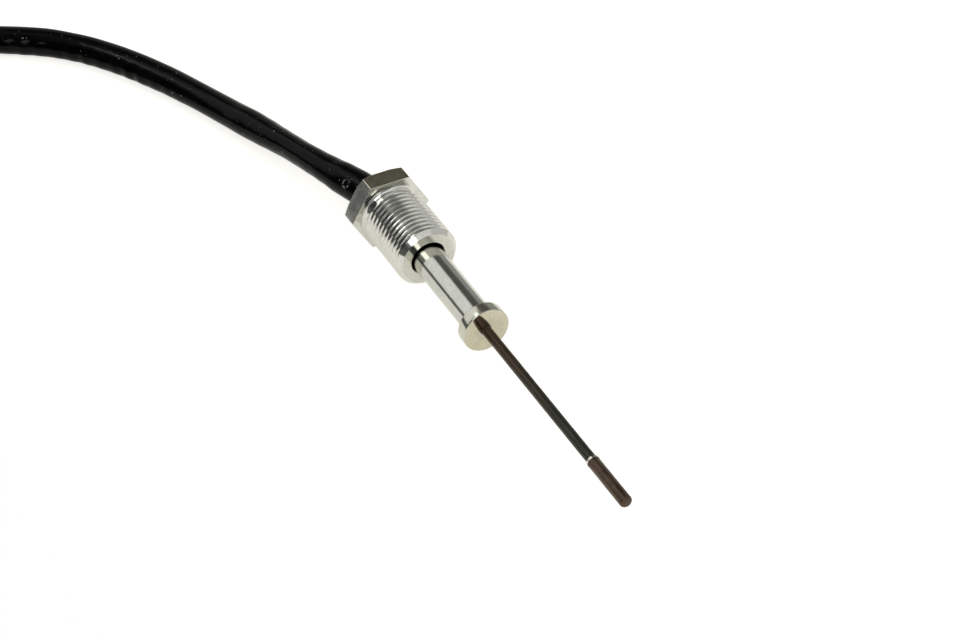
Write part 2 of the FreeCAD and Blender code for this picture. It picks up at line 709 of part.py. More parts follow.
def make_housing():
    body = new_body("plug_housing")
    lap = "sizes.plug_edge"  # how far one form runs into the next
    sketch = rectangle(body, "block_outline", "sizes.plug_width", "sizes.plug_height", along="sizes.boot_len")
    block = feature(body, "Pad", "block", sketch)
    bind(block, Length="sizes.plug_block")
    sketch = rectangle(body, "nose_outline", "sizes.nose_width", "sizes.nose_height",
                       along=f"sizes.boot_len + sizes.plug_block - {lap}")
    nose = feature(body, "Pad", "nose", sketch)
    bind(nose, Length=f"sizes.plug_nose + {lap}")
    doc.recompute()

    ends = edges_along_x(nose.Shape, nose, size("boot_len"), size("plug_front"))
    rounds = body.newObject("PartDesign::Fillet", "long_edges")
    rounds.Base = ends
    bind(rounds, Radius="sizes.plug_edge")

    side = "sizes.plug_width / 2"
    rib_rear = "sizes.boot_len + sizes.grip_start"
    rib_front = f"{rib_rear} + sizes.grip_step / 2"
    sketch = polygon(body, "grip_outline", "XY_Plane", [
        (rib_rear, f"{side} - sizes.grip_rib"),
        (rib_rear, f"{side} + sizes.grip_rib"),
        (rib_front, f"{side} + sizes.grip_rib"),
        (rib_front, f"{side} - sizes.grip_rib"),
    ])
    rib = feature(body, "Pad", "grip_rib", sketch, Midplane=True)
    bind(rib, Length="sizes.plug_height - 4 * sizes.plug_edge")
    doc.recompute()
    mirror = body.newObject("PartDesign::Mirrored", "grip_rib_opposite")
    mirror.Originals = [rib]
    mirror.MirrorPlane = (next(f for f in body.Origin.OriginFeatures if f.Role == "XZ_Plane"), [""])
    body.Tip = mirror
    doc.recompute()
    row = body.newObject("PartDesign::LinearPattern", "grip_rib_row")
    row.Originals = [rib]
    row.Direction = (next(f for f in body.Origin.OriginFeatures if f.Role == "X_Axis"), [""])
    bind(row, Occurrences="sizes.grip_count", Length="(sizes.grip_count - 1) * sizes.grip_step")
    body.Tip = row
    doc.recompute()

    root = "sizes.boot_len + sizes.plug_block"
    low = "places.latch_level"
    high = "places.latch_level + sizes.latch_thick"
    hook = f"{root} + sizes.latch_reach - sizes.latch_hook_len"
    sketch = polygon(body, "latch_outline", "XZ_Plane", [
        (f"{root} - {lap}", low),
        (f"{root} + sizes.latch_reach", low),
        (f"{root} + sizes.latch_reach", f"{high} - sizes.latch_hook_rise"),
        (hook, f"{high} + sizes.latch_hook_rise"),
        (hook, high),
        (f"{root} - {lap}", high),
    ])
    latch = feature(body, "Pad", "latch", sketch, Midplane=True)
    bind(latch, Length="sizes.latch_width")

    turned(body, "boot_socket", [
        ("sizes.boot_len", "0"),
        ("sizes.boot_len", "sizes.boot_spigot_dia / 2"),
        ("places.cavity_rear", "sizes.boot_spigot_dia / 2"),
        ("places.cavity_rear", "0"),
    ], "Groove")
    sketch = circles(body, "cavity_outline", "YZ_Plane", PLUG_CENTRES, "sizes.cavity_dia")
    sketch.setExpression("AttachmentOffset.Base.z", "places.cavity_rear")
    cavities = feature(body, "Pocket", "cavities", sketch, Reversed=True)
    bind(cavities, Length="places.plug_front - places.cavity_rear - sizes.lock_depth")
    sketch = rectangle(body, "lock_seat_outline", "sizes.lock_width", "sizes.lock_height",
                       along="places.plug_front - sizes.lock_depth")
    seat = feature(body, "Pocket", "lock_seat", sketch, Reversed=True)
    bind(seat, Length="sizes.lock_depth")
    set_in_plug(body, "plug_housing")


def make_plug_lock():
    body = new_body("plug_lock")
    gap = "2 * sizes.seat_gap"
    sketch = rectangle(body, "lock_outline", f"(sizes.lock_width - {gap})",
                       f"(sizes.lock_height - {gap})", along="places.plug_front - sizes.lock_depth")
    pad = feature(body, "Pad", "lock_plate", sketch)
    bind(pad, Length="sizes.lock_depth")
    sketch = circles(body, "window_outline", "YZ_Plane", PLUG_CENTRES, "sizes.window_dia")
    sketch.setExpression("AttachmentOffset.Base.z", "places.plug_front - sizes.lock_depth")
    windows = feature(body, "Pocket", "windows", sketch, Reversed=True)
    bind(windows, Length="sizes.lock_depth")
    set_in_plug(body, "plug_lock")


def make_plug_seal():
    body = new_body("plug_seal")
    start = "sizes.boot_len + sizes.plug_block"
    grow = "2 * sizes.seal_thick"
    sketch = rectangle(body, "seal_outline", f"(sizes.nose_width + {grow})",
                       f"(sizes.nose_height + {grow})", along=start)
    pad = feature(body, "Pad", "seal_band", sketch)
    bind(pad, Length="sizes.seal_len")
    doc.recompute()
    rounds = body.newObject("PartDesign::Fillet", "seal_corners")
    rounds.Base = edges_along_x(pad.Shape, pad, size("boot_len"), size("plug_front"))
    bind(rounds, Radius="sizes.plug_edge + sizes.seal_thick")
    gap = "2 * sizes.seat_gap"
    sketch = rectangle(body, "seal_inner_outline", f"(sizes.nose_width + {gap})",
                       f"(sizes.nose_height + {gap})", along=start)
    opening = feature(body, "Pocket", "seal_opening", sketch, Reversed=True)
    bind(opening, Length="sizes.seal_len")
    set_in_plug(body, "plug_seal")


def make_contacts():
    for letter, sign in PLUG_SIDES:
        offset = (1 if sign == "" else -1) * size("contact_pitch") / 2
        reach = "places.barrel_rear + sizes.barrel_len / 2"
        lead = fused(f"plug_lead_form_{letter}", [
            cylinder(f"plug_lead_cover_{letter}", "sizes.lead_dia", "places.barrel_rear - sizes.cover_gap"),
            cylinder(f"plug_lead_metal_{letter}", "sizes.conductor_dia", reach),
        ])
        set_in_plug(lead, f"plug_lead_{letter}", side=offset)

        barrel = cut(f"barrel_form_{letter}",
                     cylinder(f"barrel_outside_{letter}", "sizes.contact_width", "sizes.barrel_len"),
                     cylinder(f"barrel_hole_{letter}", "sizes.conductor_dia + 2 * sizes.seat_gap",
                              "sizes.barrel_depth"))
        box = doc.addObject("Part::Box", f"contact_box_{letter}")
        bind(box, Length="sizes.contact_len", Width="sizes.contact_width", Height="sizes.contact_width")
        half = "-sizes.contact_width / 2"
        bind(box, Placement__Base__x="sizes.barrel_len", Placement__Base__y=half, Placement__Base__z=half)
        contact = fused(f"contact_form_{letter}", [barrel, box])
        set_in_plug(contact, f"terminal_{letter}", along=size("barrel_rear"), side=offset)

        body = new_body(f"wire_seal_{letter}")
        ridge = "sizes.cavity_dia / 2 - sizes.seat_gap"
        valley = f"{ridge} - sizes.wire_seal_ridge"
        hole = "sizes.lead_dia / 2 + sizes.seat_gap"
        step = f"sizes.wire_seal_len / {2 * SEAL_RIDGES}"
        ribs = [("0", hole), ("0", valley)]
        for k in range(SEAL_RIDGES):
            ribs += [(f"{2 * k + 1} * {step}", ridge), (f"{2 * k + 2} * {step}", valley)]
        ribs.append(("sizes.wire_seal_len", hole))
        turned(body, f"wire_seal_ribs_{letter}", ribs)
        set_in_plug(body, f"wire_seal_{letter}", along=size("cavity_rear"), side=offset)


make_hollow_nut()
make_protection_tube()
make_stop_collar()
make_sheath()
make_cap()
make_element()
make_core_and_leads()
make_spacer_and_grommet()
make_cable_sleeve()
make_boot()
make_housing()
make_plug_lock()
make_plug_seal()
make_contacts()
doc.recompute()

for thing in doc.Objects:
    if "Invalid" in thing.State or "Error" in thing.State:
        raise RuntimeError(f"{thing.Name} failed: {thing.State}")
for piece in pieces:
    shape = piece.Shape
    if shape.isNull() or not shape.isValid() or not shape.Solids:
        raise RuntimeError(f"{piece.Label} has no valid solid")

os.makedirs("parts", exist_ok=True)
for piece in pieces:
    piece.Shape.exportStep(f"parts/{piece.Label}.step")
print(len(pieces), "pieces")
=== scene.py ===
import bmesh
import bpy
import math
from mathutils import Matrix, Vector


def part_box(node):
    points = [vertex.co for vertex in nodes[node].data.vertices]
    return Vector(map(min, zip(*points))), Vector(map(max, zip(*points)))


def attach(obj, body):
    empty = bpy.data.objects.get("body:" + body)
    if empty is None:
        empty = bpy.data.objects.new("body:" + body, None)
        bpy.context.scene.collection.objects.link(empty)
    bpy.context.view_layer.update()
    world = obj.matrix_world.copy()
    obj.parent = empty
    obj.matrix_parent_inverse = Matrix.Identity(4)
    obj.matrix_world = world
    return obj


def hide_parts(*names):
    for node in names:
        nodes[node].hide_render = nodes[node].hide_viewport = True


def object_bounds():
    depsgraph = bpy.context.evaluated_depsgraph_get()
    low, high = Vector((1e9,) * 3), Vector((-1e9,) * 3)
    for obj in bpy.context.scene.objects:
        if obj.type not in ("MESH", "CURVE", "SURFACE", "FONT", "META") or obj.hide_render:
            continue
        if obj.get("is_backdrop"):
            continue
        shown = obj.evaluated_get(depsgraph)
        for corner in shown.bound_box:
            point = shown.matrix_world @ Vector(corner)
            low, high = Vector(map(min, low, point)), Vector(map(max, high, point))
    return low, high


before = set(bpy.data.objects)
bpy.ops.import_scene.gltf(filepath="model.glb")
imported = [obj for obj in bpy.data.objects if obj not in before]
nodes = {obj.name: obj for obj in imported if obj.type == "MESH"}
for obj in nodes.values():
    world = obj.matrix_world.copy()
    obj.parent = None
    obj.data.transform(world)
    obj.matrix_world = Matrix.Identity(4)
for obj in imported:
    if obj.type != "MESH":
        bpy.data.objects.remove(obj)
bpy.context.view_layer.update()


# Sensing element, its wires and the cement round them. A small fired ceramic chip with two fine
# alloy wires lies in the closed end of the cap, and a ceramic cement that is poured in and dried
# holds it. None of it shows from outside.

MM = 0.001


def finish_of(name, colour, metal=0.0, rough=0.4):
    """A new material with the plain values set on its shader, its tree and the shader."""
    finish = bpy.data.materials.new(name)
    finish.use_nodes = True
    tree = finish.node_tree
    shader = tree.nodes["Principled BSDF"]
    shader.inputs["Base Color"].default_value = (*colour, 1.0)
    shader.inputs["Metallic"].default_value = metal
    shader.inputs["Roughness"].default_value = rough
    return finish, tree, shader


def place_coords(tree, stretch=(1.0, 1.0, 1.0)):
    """Object coordinates, stretched so that a pattern can run along or round a piece."""
    coords = tree.nodes.new("ShaderNodeTexCoord")
    mapping = tree.nodes.new("ShaderNodeMapping")
    mapping.inputs["Scale"].default_value = stretch
    tree.links.new(coords.outputs["Object"], mapping.inputs["Vector"])
    return mapping.outputs["Vector"]


def noise(tree, vector, scale, detail=3.0, rough=0.55):
    """A noise field over the given coordinates."""
    node = tree.nodes.new("ShaderNodeTexNoise")
    node.inputs["Scale"].default_value = scale
    node.inputs["Detail"].default_value = detail
    node.inputs["Roughness"].default_value = rough
    tree.links.new(vector, node.inputs["Vector"])
    return node.outputs["Fac"]


def ramp(tree, factor, stops):
    """Colours laid over a factor from 0 to 1, as pairs of place and colour."""
    node = tree.nodes.new("ShaderNodeValToRGB")
    ladder = node.color_ramp.elements
    while len(ladder) < len(stops):
        ladder.new(0.5)
    for element, (place, colour) in zip(ladder, stops):
        element.position = place
        element.color = (*colour, 1.0) if hasattr(colour, "__len__") else (colour, colour, colour, 1.0)
    tree.links.new(factor, node.inputs["Fac"])
    return node.outputs["Color"]


def bump(tree, shader, height, depth, strength=1.0):
    """Small relief from a height field; depth is in metres."""
    node = tree.nodes.new("ShaderNodeBump")
    node.inputs["Strength"].default_value = strength
    node.inputs["Distance"].default_value = depth
    tree.links.new(height, node.inputs["Height"])
    tree.links.new(node.outputs["Normal"], shader.inputs["Normal"])


def dress(piece, finish):
    """Give every face of a piece one finish."""
    piece.data.materials.clear()
    piece.data.materials.append(finish)


def grained_finish(name, colour, grain_scale, depth, tones=None, metal=0.0, rough=0.4, detail=3.0,
                   stretch=(1.0, 1.0, 1.0)):
    """A finish with one fine grain that shows as relief and, between two tones, as colour."""
    finish, tree, shader = finish_of(name, colour, metal, rough)
    grain = noise(tree, place_coords(tree, stretch), grain_scale, detail)
    if tones:
        tint = ramp(tree, grain, list(zip((0.3, 0.7), tones)))
        tree.links.new(tint, shader.inputs["Base Color"])
    bump(tree, shader, grain, depth)
    return finish


ceramic = grained_finish("fired_ceramic", (0.88, 0.86, 0.80), 2500, 0.02 * MM,
                         [(0.80, 0.77, 0.70), (0.90, 0.88, 0.83)], rough=0.55)
dress(nodes["sensing_element"], ceramic)

cement = grained_finish("ceramic_cement", (0.80, 0.78, 0.72), 4000, 0.05 * MM,
                        [(0.68, 0.65, 0.58), (0.84, 0.82, 0.76)], rough=0.85, detail=6.0)
dress(nodes["tip_cement"], cement)

wire_metal = grained_finish("drawn_wire", (0.60, 0.58, 0.55), 20000, 0.004 * MM,
                            [(0.50, 0.48, 0.45), (0.66, 0.64, 0.61)], metal=1.0, rough=0.3,
                            stretch=(0.02, 1.0, 1.0))
for name in ("element_lead_a", "element_lead_b", "core_wire_a", "core_wire_b"):
    dress(nodes[name], wire_metal)


# Sheath and its packing. A seamless tube of heat resistant steel is drawn down over two wires and
# pressed magnesia powder, and then annealed, which leaves a dark brown, slightly mottled oxide
# with fine scratches along its length.

packing = grained_finish("pressed_powder", (0.90, 0.89, 0.86), 6000, 0.02 * MM,
                         [(0.82, 0.81, 0.78), (0.92, 0.91, 0.88)], rough=0.9, detail=6.0)
dress(nodes["sheath_packing"], packing)

sheath_low, sheath_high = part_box("sheath")
sheath_radius = (sheath_high.z - sheath_low.z) / 2
sheath_wall = 0.28 * MM
burnt_black = (0.043, 0.045, 0.034)


def laid(tree, under, share, over, blend="MIX"):
    """One colour laid over another by a share; each is a plain value or a node's output."""
    mix = tree.nodes.new("ShaderNodeMix")
    mix.data_type = "RGBA"
    mix.blend_type = blend
    for socket, value in ((mix.inputs["Factor"], share), (mix.inputs["A"], under), (mix.inputs["B"], over)):
        if hasattr(value, "is_linked"):
            tree.links.new(value, socket)
        else:
            socket.default_value = (*value, 1.0) if hasattr(value, "__len__") else value
    return mix.outputs["Result"]


def along_axis(tree, axis, start, end, most):
    """A factor that grows from 0 to a most between two places along an axis."""
    spot = tree.nodes.new("ShaderNodeSeparateXYZ")
    tree.links.new(place_coords(tree), spot.inputs[0])
    growth = tree.nodes.new("ShaderNodeMapRange")
    growth.inputs["From Min"].default_value = start
    growth.inputs["From Max"].default_value = end
    growth.inputs["To Max"].default_value = most
    tree.links.new(spot.outputs[axis], growth.inputs["Value"])
    return growth.outputs["Result"]


def oxide_finish(name, dark, brown, pale, rough, blackened):
    """Oxidised steel: a dark ground, brown clouds, paler fine lines, and blacker towards the tip."""
    finish, tree, shader = finish_of(name, dark, metal=0.75, rough=rough)
    clouds = noise(tree, place_coords(tree, (0.35, 1.0, 1.0)), 900, 4.0)
    tint = ramp(tree, clouds, [(0.38, dark), (0.55, brown), (0.72, dark)])
    sheath_length = sheath_high.x - sheath_low.x
    brown_end = sheath_low.x + 0.25 * sheath_length
    black_start = sheath_low.x + 0.75 * sheath_length
    heat = along_axis(tree, "X", brown_end, black_start, blackened)
    burnt = laid(tree, tint, heat, burnt_black)
    lines = noise(tree, place_coords(tree, (0.06, 1.0, 1.0)), 9000, 3.0)
    scratches = ramp(tree, lines, [(0.50, 0.0), (0.78, 0.55)])
    tree.links.new(laid(tree, burnt, scratches, pale), shader.inputs["Base Color"])
    patches = ramp(tree, clouds, [(0.35, rough - 0.08), (0.65, rough + 0.14)])
    tree.links.new(patches, shader.inputs["Roughness"])
    bump(tree, shader, lines, 0.012 * MM)
    return finish


def link_mesh(name, mesh):
    """A new object for a finished mesh, at the origin."""
    piece = bpy.data.objects.new(name, mesh)
    bpy.context.scene.collection.objects.link(piece)
    return piece


def mesh_of(name, shape):
    """A new mesh from a form that has all its points and faces."""
    mesh = bpy.data.meshes.new(name)
    shape.to_mesh(mesh)
    shape.free()
    return mesh


def lathe(name, rings, level, around=128, closed=False):
    """A smooth round form about an axis along X, from pairs of place along X and radius."""
    shape = bmesh.new()
    loops = []
    for along, radius in rings:
        if radius == 0:
            loops.append([shape.verts.new((along, 0, level))])
            continue
        turns = [2 * math.pi * k / around for k in range(around)]
        loops.append([shape.verts.new((along, radius * math.cos(turn), level + radius * math.sin(turn)))
                      for turn in turns])
    pairs = list(zip(loops, loops[1:]))
    if closed:
        pairs.append((loops[-1], loops[0]))
    for first, second in pairs:
        for k in range(around):
            n = (k + 1) % around
            corners = (first[k % len(first)], first[n % len(first)],
                       second[n % len(second)], second[k % len(second)])
            shape.faces.new(list(dict.fromkeys(corners)))
    bmesh.ops.recalc_face_normals(shape, faces=shape.faces)
    mesh = mesh_of(name, shape)
    mesh.shade_smooth()
    mesh.set_sharp_from_angle(angle=math.radians(28))
    return link_mesh(name, mesh)


# Sheath, cap, collar, tube and the front of the sleeve share one level line along X, which grows
# towards the tip. The nut has a line of its own, a little higher, as the tube lies low in its bore.
tube_low, tube_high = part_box("protection_tube")
probe_z = (tube_low.z + tube_high.z) / 2
sheath_bore = sheath_radius - sheath_wall
sheath = lathe("sheath_skin", [
    (sheath_low.x, sheath_bore),
    (sheath_low.x, sheath_radius),
    (sheath_high.x, sheath_radius),
    (sheath_high.x, sheath_bore),
], probe_z, around=64, closed=True)
sheath_oxide = oxide_finish("sheath_oxide", dark=(0.050, 0.034, 0.023), brown=(0.088, 0.053, 0.035),
                            pale=(0.12, 0.088, 0.062), rough=0.36, blackened=1.0)
dress(sheath, sheath_oxide)
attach(sheath, "probe")
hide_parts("sheath")


# Tip cap. A short closed tube is slipped over the end of the sheath and welded round its open rim.
# Its end is domed, the weld leaves a narrow bright ring, and the heat turns the rest brown.

cap_low, cap_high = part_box("tip_cap")
rim_radius = (cap_high.z - cap_low.z) / 2
cap_radius = rim_radius - 0.05 * MM
slip_fit = 0.02 * MM
cap_hole = sheath_radius + slip_fit
hole_end = cap_low.x + 10.0 * MM
drill_point = 0.8 * MM
rim_edge = 0.12 * MM
rim_end = cap_low.x + 0.9 * MM
weld_slope = 0.2 * MM
undercut = 0.06 * MM
dome_flat = 0.55 * MM
dome_steps = 14
corner = cap_radius - dome_flat
dome = []
for k in range(dome_steps + 1):
    a = math.pi / 2 * k / dome_steps
    dome.append((cap_high.x - corner + corner * math.sin(a), dome_flat + corner * math.cos(a)))
cap = lathe("tip_cap_skin", [
    (hole_end + drill_point, 0),
    (hole_end, cap_hole),
    (cap_low.x, cap_hole),
    (cap_low.x, rim_radius - rim_edge),
    (cap_low.x + rim_edge, rim_radius),
    (rim_end - weld_slope, rim_radius),
    (rim_end, cap_radius - undercut),
    (rim_end + 0.15 * MM, cap_radius),
    *dome,
    (cap_high.x - 0.05 * MM, 0),
], probe_z, around=64)
cap_oxide = oxide_finish("cap_oxide", dark=(0.066, 0.046, 0.034), brown=(0.118, 0.072, 0.048),
                         pale=(0.17, 0.125, 0.095), rough=0.34, blackened=0.0)
rim_metal = grained_finish("bright_rim", (0.72, 0.70, 0.64), 9000, 0.01 * MM, metal=1.0, rough=0.2,
                           stretch=(1.0, 0.3, 0.3))
dress(cap, cap_oxide)
cap.data.materials.append(rim_metal)
for face in cap.data.polygons:
    off_axis = math.hypot(face.center.y, face.center.z - probe_z)
    if face.center.x < rim_end - weld_slope and off_axis > cap_hole:
        face.material_index = 1
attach(cap, "probe")
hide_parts("tip_cap")


# Splices and leads inside the tube. Each core wire is crimped to a stranded lead in a short metal
# sleeve, a ceramic with two holes holds the crimps apart, and a silicone grommet fills the neck.

crimp_metal = grained_finish("crimp_plating", (0.68, 0.68, 0.66), 5000, 0.01 * MM, metal=1.0, rough=0.28)
copper = grained_finish("copper_strand", (0.72, 0.45, 0.30), 12000, 0.05 * MM, metal=1.0, rough=0.35,
                        stretch=(0.05, 1.0, 1.0))
lead_cover = grained_finish("lead_silicone", (0.50, 0.17, 0.10), 3000, 0.01 * MM,
                            [(0.42, 0.13, 0.08), (0.54, 0.20, 0.12)], rough=0.5)
for letter in "ab":
    dress(nodes[f"crimp_sleeve_{letter}"], crimp_metal)
    dress(nodes[f"lead_conductor_{letter}"], copper)
    dress(nodes[f"lead_insulation_{letter}"], lead_cover)
dress(nodes["splice_spacer"], ceramic)
dress(nodes["rear_grommet"], lead_cover)


# Stop collar. It is turned from stainless bar with a thin flange and a spigot that is pressed and
# welded into the tube; its front face is polished so finely that it mirrors the sheath.

collar_low, collar_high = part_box("stop_collar")
collar_back = collar_high.x - 3.2 * MM
collar_radius = (collar_high.z - collar_low.z) / 2
collar_hole = sheath_radius + slip_fit
hole_bevel = 0.3 * MM
tube_radius = (tube_high.z - tube_low.z) / 2
tube_wall = 0.6 * MM
tube_bore = tube_radius - tube_wall
spigot_radius = tube_bore - slip_fit
spigot_taper = 0.33 * MM
collar_edge = 0.22 * MM


def eased(x_sign, at, radius, amount, steps=4):
    """Points of a small rounded edge between a flat face and the rim of a round form."""
    points = []
    for k in range(steps + 1):
        a = math.pi / 2 * k / steps
        points.append((at + x_sign * amount * (1 - math.sin(a)), radius - amount * (1 - math.cos(a))))
    return points


collar = lathe("stop_collar_turned", [
    (collar_low.x, collar_hole),
    (collar_low.x, spigot_radius - spigot_taper),
    (collar_low.x + 0.3 * MM, spigot_radius),
    (collar_back, spigot_radius),
    *reversed(eased(1, collar_back, collar_radius, collar_edge)),
    *eased(-1, collar_high.x, collar_radius, collar_edge),
    (collar_high.x, collar_radius - 1.2 * MM),
    (collar_high.x, collar_hole + hole_bevel),
    (collar_high.x - 0.12 * MM, collar_hole),
], probe_z, around=160, closed=True)


def steel_finish(name, colour, rough, line_scale, line_depth, stretch):
    """Turned or drawn stainless: fine lines the way the tool went, a speckle and faint cloudy stains."""
    finish, tree, shader = finish_of(name, colour, metal=1.0, rough=rough)
    lines = noise(tree, place_coords(tree, stretch), line_scale, 2.0)
    clouds = noise(tree, place_coords(tree), 260, 3.0)
    darker = tuple(0.90 * c for c in colour)
    tint = ramp(tree, clouds, [(0.35, darker), (0.65, colour)])
    speckle = ramp(tree, noise(tree, place_coords(tree), 3200, 2.0), [(0.36, 0.86), (0.60, 1.0)])
    tree.links.new(laid(tree, tint, 1.0, speckle, "MULTIPLY"), shader.inputs["Base Color"])
    smear = ramp(tree, clouds, [(0.3, rough * 0.8), (0.7, rough * 1.25)])
    tree.links.new(smear, shader.inputs["Roughness"])
    bump(tree, shader, lines, line_depth)
    return finish


collar_side = steel_finish("turned_side", (0.65, 0.65, 0.555), 0.13, 5000, 0.0015 * MM, (1.0, 0.08, 0.08))
collar_face = steel_finish("polished_face", (0.69, 0.65, 0.495), 0.06, 2500, 0.0006 * MM, (1.0, 1.0, 1.0))
dress(collar, collar_side)
collar.data.materials.append(collar_face)
for face in collar.data.polygons:
    if face.normal.x > 0.99 and face.center.x > collar_back:
        face.material_index = 1
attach(collar, "probe")
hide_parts("stop_collar")


# Protection tube. A thin stainless tube covers the splices. Its rear end is necked down to carry
# the cable sleeve, and its front end is pressed over the collar's spigot.

neck_radius = 3.45 * MM
neck_end = tube_low.x + 7.0 * MM
neck_step = tube_radius - neck_radius
taper = 1.4 * MM
rear_edge = 0.1 * MM
front_edge = 0.08 * MM
tube = lathe("protection_tube_drawn", [
    (tube_low.x, neck_radius - tube_wall),
    (tube_low.x, neck_radius - rear_edge),
    (tube_low.x + rear_edge, neck_radius),
    (neck_end, neck_radius),
    (neck_end + 0.3 * taper, neck_radius + 0.13 * neck_step),
    (neck_end + 0.7 * taper, neck_radius + 0.87 * neck_step),
    (neck_end + taper, tube_radius),
    (tube_high.x - front_edge, tube_radius),
    (tube_high.x, tube_radius - front_edge),
    (tube_high.x, tube_bore),
    (neck_end + taper, tube_bore),
    (neck_end, neck_radius - tube_wall),
], probe_z, around=160, closed=True)
dress(tube, steel_finish("drawn_tube", (0.67, 0.675, 0.62), 0.12, 4000, 0.0018 * MM, (0.03, 1.0, 1.0)))
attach(tube, "probe")
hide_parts("protection_tube")


# Hollow nut. It is turned from hexagon bar: a bevelled rear edge, a relief groove and a shank with
# a right-handed fine thread. It is bored through, slides on the tube, and presses on the collar.

nut_low, nut_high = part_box("hollow_nut")
nut_z = (nut_low.z + nut_high.z) / 2
hex_back = nut_low.x
hex_front = hex_back + 5.0 * MM
nut_nose = nut_high.x
flat_radius = (nut_high.z - nut_low.z) / 2
bevel_radius = 9.25 * MM
bevel_slope = math.tan(math.radians(30))
rear_land = 0.1 * MM
nut_bore = 4.40 * MM
bore_bevel = 0.2 * MM
bore_mouth = 1.0 * MM
groove_radius = 6.85 * MM
groove_end = hex_front + 2.2 * MM
throat = 1.2 * MM
throat_steps = 6
thread_radius = 8.0 * MM
side_steps = 20
nut_steps = 6 * side_steps


def hexagon_section(turn):
    """The hexagon's outline and the groove's at a turn from the Y axis: pairs of place along X and radius."""
    reach = flat_radius / math.cos(turn % (math.pi / 3) - math.pi / 6)
    bevel = max(0.0, reach - bevel_radius) * bevel_slope
    bends = [math.pi / 2 * k / throat_steps for k in range(throat_steps + 1)]
    return [
        (hex_back + bore_mouth, nut_bore),
        (hex_back, nut_bore + bore_mouth),
        (hex_back, min(reach, bevel_radius) - rear_land),
        (hex_back + bevel, reach),
        (hex_front, reach),
        *[(hex_front + throat * (1 - math.cos(a)), groove_radius + throat * (1 - math.sin(a))) for a in bends],
        (groove_end, groove_radius),
    ]


shape = bmesh.new()
turns = [2 * math.pi * k / nut_steps for k in range(nut_steps)]
loops = []
for loop in zip(*[hexagon_section(turn) for turn in turns]):
    loops.append([shape.verts.new((along, radius * math.cos(turn), nut_z + radius * math.sin(turn)))
                  for turn, (along, radius) in zip(turns, loop)])
for first, second in zip(loops, loops[1:]):
    for k in range(nut_steps):
        n = (k + 1) % nut_steps
        shape.faces.new((first[k], second[k], second[n], first[n]))
bmesh.ops.recalc_face_normals(shape, faces=shape.faces)

# The edges between two flats are worn rounder than the rims.
real_edge = math.radians(25)
worn = shape.edges.layers.float.new("bevel_weight_edge")
for border in shape.edges:
    if border.calc_face_angle(0) > real_edge:
        border[worn] = 0.62
side_rear, side_front = loops[3], loops[4]
for k in range(0, nut_steps, side_steps):
    shape.edges.get((side_rear[k], side_front[k]))[worn] = 1.0
hexagon = link_mesh("hollow_nut_hexagon", mesh_of("hollow_nut_hexagon", shape))
soften = hexagon.modifiers.new("soften", "BEVEL")
soften.width = 0.42 * MM
soften.segments = 4
soften.limit_method = "WEIGHT"

thread_pitch = 1.5 * MM
thread_depth = 0.84 * MM
half_crest_share, flank_share = 1 / 16, 5 / 16
thread_start = 0.69 * MM
thread_runout = 0.45 * MM
nose_bevel = 1.1 * MM
rows_per_pitch = 16
weld_gap = 0.002 * MM


def reckoner(tree):
    """A function that adds one sum to a node tree, of numbers or of other nodes' outputs."""
    def reckon(kind, *values):
        node = tree.nodes.new("ShaderNodeMath")
        node.operation = kind
        for socket, value in zip(node.inputs, values):
            if isinstance(value, (int, float)):
                socket.default_value = value
            else:
                tree.links.new(value, socket)
        return node.outputs[0]
    return reckon


